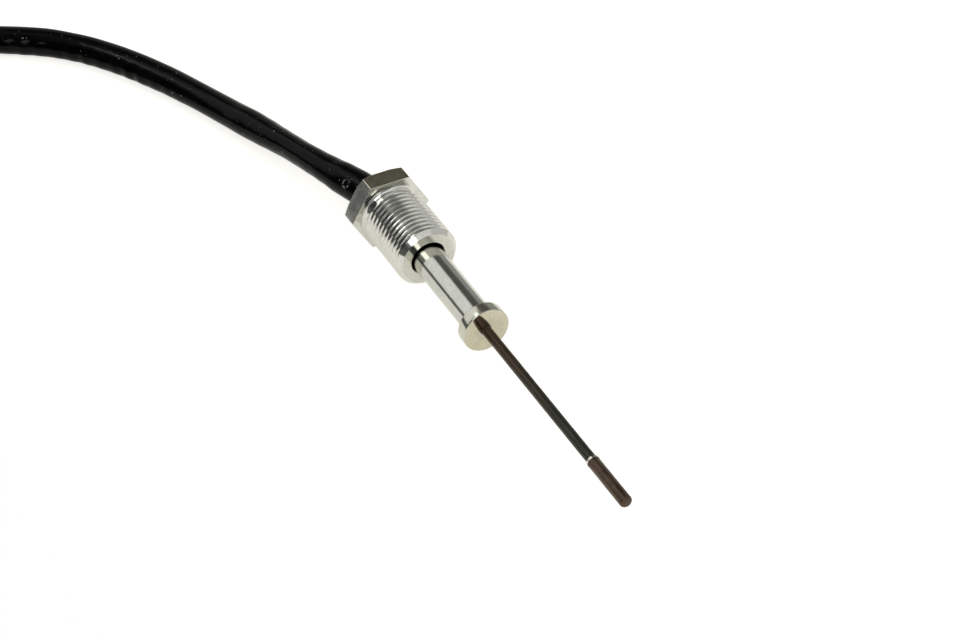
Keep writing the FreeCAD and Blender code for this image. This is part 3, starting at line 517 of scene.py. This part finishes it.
def thread_tree():
    """A grid rolled into a helix: each row follows the thread, so its crests and roots stay crisp."""
    tree = bpy.data.node_groups.new("rolled_thread", "GeometryNodeTree")
    face = tree.interface
    for name, kind in (("Length", "Float"), ("Pitch", "Float"), ("Radius", "Float"), ("Depth", "Float"),
                       ("Groove Radius", "Float"), ("Ramp", "Float"), ("Nose Bevel", "Float"),
                       ("Fade", "Float"), ("Rows", "Int"), ("Around", "Int"), ("Finish", "Material")):
        face.new_socket(name, in_out="INPUT", socket_type="NodeSocket" + kind)
    face.new_socket("Mesh", in_out="OUTPUT", socket_type="NodeSocketGeometry")
    given = tree.nodes.new("NodeGroupInput").outputs
    reckon = reckoner(tree)

    # A flat grid, one row for each small step of the pitch, whose rows lean by one pitch in a turn.
    full = reckon("ADD", given["Length"], given["Pitch"])
    grid = tree.nodes.new("GeometryNodeMeshGrid")
    tree.links.new(full, grid.inputs["Size X"])
    grid.inputs["Size Y"].default_value = 2 * math.pi
    tree.links.new(given["Rows"], grid.inputs["Vertices X"])
    tree.links.new(given["Around"], grid.inputs["Vertices Y"])

    spot = tree.nodes.new("ShaderNodeSeparateXYZ")
    place = tree.nodes.new("GeometryNodeInputPosition")
    tree.links.new(place.outputs[0], spot.inputs[0])
    row = reckon("SUBTRACT", reckon("ADD", spot.outputs["X"], reckon("MULTIPLY", full, 0.5)), given["Pitch"])
    turn = reckon("ADD", spot.outputs["Y"], math.pi)
    lead = reckon("MULTIPLY", reckon("DIVIDE", turn, 2 * math.pi), given["Pitch"])
    along = reckon("MINIMUM", reckon("MAXIMUM", reckon("ADD", row, lead), 0.0), given["Length"])

    # The flat crest and the two flanks, cut less and less where the thread runs out towards the nose.
    from_crest = reckon("PINGPONG", reckon("DIVIDE", row, given["Pitch"]), 0.5)
    flank = reckon("DIVIDE", reckon("SUBTRACT", from_crest, half_crest_share), flank_share)
    flank = reckon("MINIMUM", reckon("MAXIMUM", flank, 0.0), 1.0)
    nose_start = reckon("SUBTRACT", given["Length"], given["Nose Bevel"])
    fade = reckon("DIVIDE", reckon("SUBTRACT", nose_start, along), given["Fade"])
    fade = reckon("MINIMUM", reckon("MAXIMUM", fade, 0.0), 1.0)
    cut = reckon("MULTIPLY", reckon("MULTIPLY", given["Depth"], flank), fade)
    threaded = reckon("SUBTRACT", given["Radius"], cut)

    # The ramp up from the relief groove and the bevel at the nose.
    rise = reckon("DIVIDE", reckon("SUBTRACT", given["Radius"], given["Groove Radius"]), given["Ramp"])
    ramped = reckon("ADD", given["Groove Radius"], reckon("MULTIPLY", along, rise))
    past = reckon("MAXIMUM", reckon("SUBTRACT", along, nose_start), 0.0)
    bevelled = reckon("SUBTRACT", given["Radius"], past)
    radius = reckon("MINIMUM", reckon("MINIMUM", threaded, ramped), bevelled)

    # The grid is rolled up, and the seam where its long sides meet is welded.
    rolled = tree.nodes.new("ShaderNodeCombineXYZ")
    tree.links.new(along, rolled.inputs["X"])
    tree.links.new(reckon("MULTIPLY", radius, reckon("COSINE", turn)), rolled.inputs["Y"])
    tree.links.new(reckon("MULTIPLY", radius, reckon("SINE", turn)), rolled.inputs["Z"])
    moved = tree.nodes.new("GeometryNodeSetPosition")
    tree.links.new(grid.outputs["Mesh"], moved.inputs["Geometry"])
    tree.links.new(rolled.outputs[0], moved.inputs["Position"])
    welded = tree.nodes.new("GeometryNodeMergeByDistance")
    welded.inputs["Distance"].default_value = weld_gap
    tree.links.new(moved.outputs[0], welded.inputs["Geometry"])
    real = tree.nodes.new("GeometryNodeRealizeInstances")
    tree.links.new(welded.outputs[0], real.inputs[0])
    coated = tree.nodes.new("GeometryNodeSetMaterial")
    tree.links.new(real.outputs[0], coated.inputs["Geometry"])
    tree.links.new(given["Finish"], coated.inputs["Material"])
    out = tree.nodes.new("NodeGroupOutput")
    tree.links.new(coated.outputs[0], out.inputs["Mesh"])
    return tree


def grown(name, tree, values):
    """The mesh that a node tree makes from named values."""
    holder = link_mesh(name, bpy.data.meshes.new(name))
    grower = holder.modifiers.new("grower", "NODES")
    grower.node_group = tree
    sockets = {item.name: item.identifier for item in tree.interface.items_tree if item.in_out == "INPUT"}
    for key, value in values.items():
        grower[sockets[key]] = value
    bpy.context.view_layer.update()
    whole = holder.evaluated_get(bpy.context.evaluated_depsgraph_get())
    mesh = bpy.data.meshes.new_from_object(whole)
    bpy.data.objects.remove(holder)
    return mesh


nut_metal = steel_finish("nut_plating", (0.77, 0.77, 0.72), 0.10, 3000, 0.0012 * MM, (1.0, 0.1, 0.1))
thread_length = nut_nose - groove_end
rolled = grown("rolled_thread", thread_tree(), {
    "Length": thread_length,
    "Pitch": thread_pitch,
    "Radius": thread_radius,
    "Depth": thread_depth,
    "Groove Radius": groove_radius,
    "Ramp": thread_start,
    "Nose Bevel": nose_bevel,
    "Fade": thread_runout,
    "Rows": int((thread_length + thread_pitch) / thread_pitch * rows_per_pitch) + 1,
    "Around": nut_steps + 1,
    "Finish": nut_metal,
})
rolled.transform(Matrix.Translation((groove_end, 0, nut_z)))
nose = lathe("nut_nose", [
    (nut_nose, thread_radius - nose_bevel),
    (nut_nose, nut_bore + bore_bevel),
    (nut_nose - bore_bevel, nut_bore),
    (hex_back + bore_mouth, nut_bore),
], nut_z, around=nut_steps)
bpy.context.view_layer.update()
softened = bpy.data.meshes.new_from_object(hexagon.evaluated_get(bpy.context.evaluated_depsgraph_get()))
bpy.data.objects.remove(hexagon)
shape = bmesh.new()
shape.from_mesh(softened)
shape.from_mesh(rolled)
shape.from_mesh(nose.data)
bpy.data.objects.remove(nose)
bmesh.ops.remove_doubles(shape, verts=shape.verts, dist=weld_gap)
bmesh.ops.recalc_face_normals(shape, faces=shape.faces)
for face in shape.faces:
    face.smooth = True

# The hexagon's flats and the nose stay crisp; everywhere else only real edges are sharp.
margin = 0.01 * MM
hexagon_crease = math.radians(8)
other_crease = math.radians(24)
for border in shape.edges:
    ends = [vertex.co for vertex in border.verts]
    off_axis = min(math.hypot(end.y, end.z - nut_z) for end in ends)
    past_throat = off_axis > groove_radius + throat + 0.1 * MM
    on_hexagon = past_throat and max(end.x for end in ends) < hex_front + margin
    on_nose = min(end.x for end in ends) > nut_nose - margin
    crease = hexagon_crease if on_hexagon else other_crease
    border.smooth = not on_nose and border.calc_face_angle(0) < crease
nut = link_mesh("hollow_nut_threaded", mesh_of("hollow_nut_threaded", shape))

# The top flat is laid over with darker brown blotches, chosen by height.
hex_metal = steel_finish("hexagon_flats", (0.62, 0.62, 0.58), 0.18, 2200, 0.004 * MM, (1.0, 1.0, 1.0))
tree = hex_metal.node_tree
base_colour = tree.nodes["Principled BSDF"].inputs["Base Color"]
blotches = noise(tree, place_coords(tree), 700, 5.0)
brown = ramp(tree, blotches, [(0.35, (0.56, 0.50, 0.34)), (0.65, (0.72, 0.66, 0.50))])
on_top = along_axis(tree, "Z", nut_high.z - 0.12 * MM, nut_high.z - 0.02 * MM, 0.85)
tree.links.new(laid(tree, base_colour.links[0].from_socket, on_top, brown), base_colour)
ring_metal = steel_finish("turned_ring", (0.72, 0.72, 0.65), 0.09, 2500, 0.0006 * MM, (1.0, 1.0, 1.0))
dress(nut, nut_metal)
nut.data.materials.append(hex_metal)
nut.data.materials.append(ring_metal)
for face in nut.data.polygons:
    off_axis = math.hypot(face.center.y, face.center.z - nut_z)
    if off_axis > groove_radius + 0.5 * MM and face.center.x < hex_front - 2 * margin:
        face.material_index = 1
    elif face.center.x > nut_nose - margin:
        face.material_index = 2
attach(nut, "nut")
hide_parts("hollow_nut")


# Cable sleeve. Glossy black plastic sleeving covers the two leads. It grips the neck of the tube
# inside the nut, is soft enough to lie a little flat, and has fine wrinkles and some white dust.

sleeve_route = [
    (-0.0462, 0.0, 0.0088),
    (-0.0602, 0.0, 0.0088),
    (-0.0754, -0.0047, 0.0082),
    (-0.0977, -0.0104, 0.0056),
    (-0.1227, -0.0183, 0.0039),
    (-0.1457, -0.0272, 0.0035),
    (-0.1637, -0.0390, 0.0035),
    (-0.1752, -0.0545, 0.0035),
    (-0.1837, -0.0695, 0.0035),
    (-0.1998, -0.0830, 0.0035),
    (-0.2214, -0.0872, 0.0035),
    (-0.2422, -0.0800, 0.0035),
    (-0.2563, -0.0638, 0.0041),
    (-0.2610, -0.0433, 0.0060),
    (-0.2580, -0.0266, 0.0060),
]
gripped_length = 6.6 * MM
sleeve_sides = 56
bore_share = 3.47 / 3.81
wrinkles_start, wrinkles_end, wrinkles_fade = 85, 160, 15
wrinkle_depth = 0.17 * MM

# Sections of the sleeve: distance from its front end, half its width and half its height in millimetres,
# how far the wide way leans over in degrees, and how far the middle lies to the side in millimetres.
sleeve_sections = [
    (0.0, 3.81, 3.81, 0, 0.0),
    (6.5, 3.81, 3.81, 0, 0.0),
    (8.0, 3.60, 3.60, 0, 0.0),
    (12.0, 3.85, 3.80, 0, 0.0),
    (16.0, 4.15, 3.95, 0, 0.0),
    (21.0, 4.43, 4.02, 0, -0.12),
    (26.0, 4.43, 3.90, -6, -0.17),
    (31.0, 4.33, 3.59, -20, -0.12),
    (36.0, 4.22, 3.48, -36, -0.12),
    (42.0, 4.22, 3.35, -42, -0.02),
    (48.0, 4.22, 3.35, -42, 0.18),
    (53.0, 4.22, 3.46, -34, 0.23),
    (58.0, 4.27, 3.61, -24, 0.28),
    (64.0, 4.33, 3.67, -16, 0.33),
    (72.0, 4.10, 3.40, -8, 0.30),
    (82.0, 4.05, 3.30, -7, 0.35),
    (91.0, 4.10, 3.35, -3, 0.25),
    (101.0, 4.15, 3.40, 0, 0.05),
    (116.0, 4.20, 3.45, 0, 0.05),
    (126.0, 4.20, 3.50, 0, 0.30),
    (136.0, 4.30, 3.60, 0, 0.60),
    (160.0, 4.10, 3.40, 0, 0.60),
    (190.0, 4.00, 3.30, 0, 0.0),
    (284.0, 4.00, 3.30, 0, 0.0),
]


def section_at(distance):
    """The sleeve's section at a distance from its front end, between the listed ones."""
    for (d0, *low), (d1, *high) in zip(sleeve_sections, sleeve_sections[1:]):
        if distance <= d1:
            share = max(0.0, (distance - d0) / (d1 - d0))
            share *= share * (3 - 2 * share)
            return [a + (b - a) * share for a, b in zip(low, high)]
    return list(sleeve_sections[-1][1:])


curve = bpy.data.curves.new("sleeve_line", "CURVE")
curve.dimensions = "3D"
spline = curve.splines.new("NURBS")
spline.points.add(len(sleeve_route) - 1)
for point, place in zip(spline.points, sleeve_route):
    point.co = (*place, 1.0)
spline.order_u = 3
spline.use_endpoint_u = True
spline.resolution_u = 34
line = bpy.data.objects.new("sleeve_line", curve)
bpy.context.scene.collection.objects.link(line)
bpy.context.view_layer.update()
line_mesh = bpy.data.meshes.new_from_object(line.evaluated_get(bpy.context.evaluated_depsgraph_get()))
sleeve_path = [vertex.co.copy() for vertex in line_mesh.vertices]
bpy.data.objects.remove(line)


def wrinkle_at(distance):
    """How far the sleeve's near side bulges at a distance from its front end in millimetres."""
    fade_in = min(1.0, max(0.0, (distance - wrinkles_start) / wrinkles_fade))
    fade_out = min(1.0, max(0.0, (wrinkles_end - distance) / wrinkles_fade))
    wave = math.sin(1.31 * distance) * (0.65 + 0.35 * math.sin(0.37 * distance))
    return wrinkle_depth * fade_in * fade_out * wave


shape = bmesh.new()
rings = []
travelled = 0.0
for k, point in enumerate(sleeve_path):
    if k:
        travelled += (point - sleeve_path[k - 1]).length
    before = sleeve_path[max(k - 1, 0)]
    after = sleeve_path[min(k + 1, len(sleeve_path) - 1)]
    way = (after - before).normalized()
    if travelled < gripped_length:
        point = Vector((point.x, 0, probe_z))
        way = Vector((-1, 0, 0))
    side = way.cross(Vector((0, 0, 1))).normalized()
    top = side.cross(way)
    half_width, half_height, lean, aside = section_at(travelled / MM)
    lean = math.radians(lean)
    reach = MM * math.hypot(half_width * math.sin(lean), half_height * math.cos(lean))
    centre = Vector((point.x, point.y, max(point.z, reach))) + side * aside * MM
    wrinkle = wrinkle_at(travelled / MM)
    ring = []
    for j in range(sleeve_sides):
        a = 2 * math.pi * j / sleeve_sides
        wide = half_width * MM * math.cos(a)
        high = half_height * MM * math.sin(a)
        u = wide * math.cos(lean) - high * math.sin(lean) - wrinkle * max(0.0, -math.cos(a)) ** 2
        v = wide * math.sin(lean) + high * math.cos(lean)
        ring.append(shape.verts.new(centre + side * u + top * v))
    rings.append(ring)
for first, second in zip(rings, rings[1:]):
    for j in range(sleeve_sides):
        n = (j + 1) % sleeve_sides
        shape.faces.new((first[j], first[n], second[n], second[j]))
front = rings[0]
mouth = Vector((sleeve_path[0].x, 0, probe_z))
inner = [shape.verts.new(mouth + (vertex.co - mouth) * bore_share) for vertex in front]
for j in range(sleeve_sides):
    n = (j + 1) % sleeve_sides
    shape.faces.new((front[j], inner[j], inner[n], front[n]))
shape.faces.new(rings[-1])
bmesh.ops.recalc_face_normals(shape, faces=shape.faces)
mesh = mesh_of("cable_sleeve_black", shape)
mesh.shade_smooth()
mesh.set_sharp_from_angle(angle=math.radians(40))
sleeve = link_mesh("cable_sleeve_black", mesh)

deep_black = (0.0010, 0.0010, 0.0012)
# White for the dust specks, and for the painted glint on the dented ring.
dust_and_glint_white = (0.40, 0.40, 0.39)
black, tree, shader = finish_of("black_sleeving", deep_black, rough=0.14)
shader.inputs["Specular IOR Level"].default_value = 0.10
reckon = reckoner(tree)
coords = place_coords(tree)
specks = ramp(tree, noise(tree, coords, 1500, 1.0, 0.3), [(0.765, 0.0), (0.79, 1.0)])
film = noise(tree, coords, 160, 5.0, 0.65)
haze = ramp(tree, film, [(0.50, deep_black), (0.85, (0.0045, 0.0045, 0.005))])
tree.links.new(ramp(tree, film, [(0.35, 0.08), (0.75, 0.15)]), shader.inputs["Roughness"])

# A small ring near the nut, where something round has dented the surface. The pale colour laid on the ring is a
# painted glint where the dent's slopes catch the light, partly a whitish scuff.
ring_mark = tree.nodes.new("ShaderNodeVectorMath")
ring_mark.operation = "DISTANCE"
tree.links.new(coords, ring_mark.inputs[0])
ring_mark.inputs[1].default_value = (-0.0668, -0.0058, 0.0109)
away = reckon("MULTIPLY", ring_mark.outputs["Value"], 250.0)
dented = ramp(tree, away, [(0.0, 0.55), (0.12, 0.5), (0.24, 1.0), (0.36, 0.45), (0.6, 0.5)])
# Painted glint: pale colour on a broken ring round the dent.
glint_ring = ramp(tree, away, [(0.15, 0.0), (0.20, 1.0), (0.26, 1.0), (0.31, 0.0)])
glint_patches = ramp(tree, noise(tree, coords, 1100, 2.0), [(0.48, 0.0), (0.56, 0.6)])
dust_and_glint = reckon("MAXIMUM", specks, reckon("MULTIPLY", glint_ring, glint_patches))
tree.links.new(laid(tree, haze, dust_and_glint, dust_and_glint_white), shader.inputs["Base Color"])
bump(tree, shader, reckon("ADD", noise(tree, coords, 120, 2.0, 0.5), dented), 0.25 * MM, 0.6)
dress(sleeve, black)
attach(sleeve, "probe")
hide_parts("cable_sleeve")


# Plug at the far end of the cable. A moulded housing with a latch and grip ribs holds two crimped
# contacts; a rubber boot closes its rear, a red plate locks the contacts, a band seals the nose.

def moulded(name, colour, rough, grain_scale, grain_depth):
    """Moulded plastic or rubber: a fine even grain and slightly uneven gloss."""
    finish, tree, shader = finish_of(name, colour, rough=rough)
    coords = place_coords(tree)
    grain = noise(tree, coords, grain_scale, 2.0)
    clouds = noise(tree, coords, 220, 4.0)
    pale = tuple(min(1.0, 1.25 * c + 0.004) for c in colour)
    tint = ramp(tree, clouds, [(0.35, colour), (0.75, pale)])
    tree.links.new(tint, shader.inputs["Base Color"])
    smear = ramp(tree, clouds, [(0.3, rough - 0.06), (0.7, rough + 0.08)])
    tree.links.new(smear, shader.inputs["Roughness"])
    bump(tree, shader, grain, grain_depth)
    return finish


housing_finish = moulded("housing_plastic", (0.030, 0.030, 0.032), 0.48, 3500, 0.015 * MM)
boot_finish = moulded("boot_rubber", (0.022, 0.022, 0.022), 0.58, 2500, 0.012 * MM)
lock_finish = moulded("lock_plastic", (0.50, 0.045, 0.028), 0.40, 3500, 0.010 * MM)
seal_finish = moulded("seal_silicone", (0.06, 0.20, 0.36), 0.50, 2500, 0.008 * MM)


def softened_copy(node, name, width, finish):
    """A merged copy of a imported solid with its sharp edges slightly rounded, which stands for it."""
    shape = bmesh.new()
    shape.from_mesh(nodes[node].data)
    bmesh.ops.remove_doubles(shape, verts=shape.verts, dist=0.003 * MM)
    bmesh.ops.dissolve_limit(shape, angle_limit=math.radians(0.5), verts=shape.verts, edges=shape.edges)
    mesh = mesh_of(name, shape)
    mesh.shade_smooth()
    piece = link_mesh(name, mesh)
    edges = piece.modifiers.new("edges", "BEVEL")
    edges.width = width
    edges.segments = 2
    edges.limit_method = "ANGLE"
    edges.angle_limit = math.radians(35)
    edges.harden_normals = True
    dress(piece, finish)
    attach(piece, "probe")
    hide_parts(node)
    return piece


plug_pieces = [
    softened_copy("plug_housing", "plug_housing_moulded", 0.16 * MM, housing_finish),
    softened_copy("plug_boot", "plug_boot_moulded", 0.10 * MM, boot_finish),
    softened_copy("plug_seal", "plug_seal_moulded", 0.12 * MM, seal_finish),
    softened_copy("plug_lock", "plug_lock_moulded", 0.08 * MM, lock_finish),
]
contact_metal = grained_finish("contact_tin", (0.75, 0.60, 0.38), 4000, 0.01 * MM, metal=1.0, rough=0.3)
for kind, finish in (("plug_lead", lead_cover), ("terminal", contact_metal), ("wire_seal", seal_finish)):
    for letter in "ab":
        dress(nodes[f"{kind}_{letter}"], finish)
        plug_pieces.append(nodes[f"{kind}_{letter}"])


# Floor. A matt white table, larger than the picture. Its glow is there only for the camera and in
# what shiny pieces mirror, so that the background is white; it lights nothing.

floor_mesh = bpy.data.meshes.new("table_top")
left, right, near, far = -0.42, 0.40, -0.11, 0.40
floor_mesh.from_pydata([(left, near, 0), (right, near, 0), (right, far, 0), (left, far, 0)], [], [(0, 1, 2, 3)])
floor = link_mesh("table_top", floor_mesh)
white = bpy.data.materials.new("white_table")
white.use_nodes = True
tree = white.node_tree
tree.nodes.clear()
matt = tree.nodes.new("ShaderNodeBsdfDiffuse")
matt.inputs["Color"].default_value = (0.92, 0.91, 0.87, 1.0)
glow = tree.nodes.new("ShaderNodeEmission")
glow.inputs["Color"].default_value = (1.0, 0.99, 0.95, 1.0)
paths = tree.nodes.new("ShaderNodeLightPath")
reckon = reckoner(tree)
seen = reckon("MULTIPLY", paths.outputs["Is Camera Ray"], 0.73)
mirrored = reckon("MULTIPLY", paths.outputs["Is Glossy Ray"], 0.43)
tree.links.new(reckon("ADD", seen, mirrored), glow.inputs["Strength"])
both = tree.nodes.new("ShaderNodeAddShader")
tree.links.new(matt.outputs[0], both.inputs[0])
tree.links.new(glow.outputs[0], both.inputs[1])
out = tree.nodes.new("ShaderNodeOutputMaterial")
tree.links.new(both.outputs[0], out.inputs["Surface"])
dress(floor, white)
floor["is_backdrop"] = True


# Studio light. A dim grey room with a bright window behind the nut, a dark ceiling and front, pale
# walls beyond, and one long soft lamp by the camera. The world is white where the camera sees it.

world = bpy.data.worlds.new("studio")
bpy.context.scene.world = world
world.use_nodes = True
tree = world.node_tree
tree.nodes.clear()
room = tree.nodes.new("ShaderNodeTexCoord")


def lobe(towards, inner, outer):
    """How far a direction lies inside a cone: 1 within the inner angle, 0 beyond the outer one."""
    dot = tree.nodes.new("ShaderNodeVectorMath")
    dot.operation = "DOT_PRODUCT"
    tree.links.new(room.outputs["Generated"], dot.inputs[0])
    dot.inputs[1].default_value = Vector(towards).normalized()
    fall = tree.nodes.new("ShaderNodeMapRange")
    fall.interpolation_type = "SMOOTHSTEP"
    fall.inputs["From Min"].default_value = math.cos(math.radians(outer))
    fall.inputs["From Max"].default_value = math.cos(math.radians(inner))
    tree.links.new(dot.outputs["Value"], fall.inputs["Value"])
    return fall.outputs["Result"]


# Each patch of the room: where it lies, the angles where it is full and where it ends, and its tone.
tone = (0.42, 0.42, 0.42)
for towards, inner, outer, colour in (
    ((-0.667, 0.70, 0.20), 18, 40, (0.36, 0.36, 0.34)),     # wall behind the nut
    ((0.10, 0.0, 1.0), 16, 32, (0.20, 0.20, 0.21)),         # ceiling
    ((-0.667, 0.315, 0.675), 10, 25, (0.11, 0.11, 0.105)),  # dark panel, high behind the nut
    ((0.10, -0.90, 0.35), 34, 48, (0.05, 0.05, 0.05)),      # dark front
    ((-0.80, -0.28, 0.53), 15, 25, (0.95, 0.95, 0.93)),     # window, in three parts
    ((-0.78, -0.48, 0.38), 17, 23, (0.95, 0.95, 0.93)),
    ((-0.80, -0.58, 0.18), 18, 25, (0.95, 0.95, 0.93)),
    ((-0.50, -0.29, 0.82), 5, 9, (3.2, 3.2, 3.15)),         # two lamps above the window
    ((-0.57, -0.27, 0.78), 4, 7, (1.6, 1.6, 1.55)),
    ((0.66, 0.40, 0.62), 32, 42, (0.80, 0.80, 0.78)),       # pale walls beyond the tip
    ((0.30, 0.90, 0.30), 25, 40, (0.62, 0.62, 0.61)),
    ((1.0, 0.1, 0.2), 10, 20, (0.25, 0.25, 0.24)),          # doorway
    ((0.0, -0.3, -1.0), 84, 92, (0.12, 0.12, 0.12)),        # ground below the table
):
    tone = laid(tree, tone, lobe(towards, inner, outer), colour)
seen = tree.nodes.new("ShaderNodeLightPath")
tone = laid(tree, tone, seen.outputs["Is Camera Ray"], (1.0, 1.0, 1.0))
air = tree.nodes.new("ShaderNodeBackground")
tree.links.new(tone, air.inputs["Color"])
out = tree.nodes.new("ShaderNodeOutputWorld")
tree.links.new(air.outputs[0], out.inputs["Surface"])

light = bpy.data.lights.new("soft_lamp", "AREA")
light.shape = "RECTANGLE"
light.size = 0.90
light.size_y = 0.42
light.energy = 2.5
lamp = bpy.data.objects.new("soft_lamp", light)
lamp.location = (0.58, -0.50, 0.75)
outward = lamp.location.normalized()
long_way = Vector((0.43, 0.185, -0.23))
upper = outward.cross(long_way).normalized()
lamp.rotation_mode = "QUATERNION"
lamp.rotation_quaternion = Matrix((upper.cross(outward), upper, outward)).transposed().to_quaternion()
bpy.context.scene.collection.objects.link(lamp)


# Camera. A long lens on a stand looks down at the probe from its tip end, a little to one side.
# The picture is cut so that the cable leaves it at the upper left.

azimuth = math.radians(61.95)
elevation = math.radians(40.88)
camera_data = bpy.data.cameras.new("camera")
camera_data.lens = 90
camera_data.sensor_width = 36
camera_data.clip_start = 0.01
camera_data.clip_end = 50
camera = bpy.data.objects.new("camera", camera_data)
bpy.context.scene.collection.objects.link(camera)
camera.location = (0.36062, -0.19629, 0.37084)
level_part = math.cos(elevation)
back = Vector((math.sin(azimuth) * level_part, -math.cos(azimuth) * level_part, math.sin(elevation)))
camera.rotation_mode = "QUATERNION"
camera.rotation_quaternion = (-back).to_track_quat("-Z", "Y")
bpy.context.scene.camera = camera
bpy.context.scene.view_settings.view_transform = "Standard"

low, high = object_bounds()
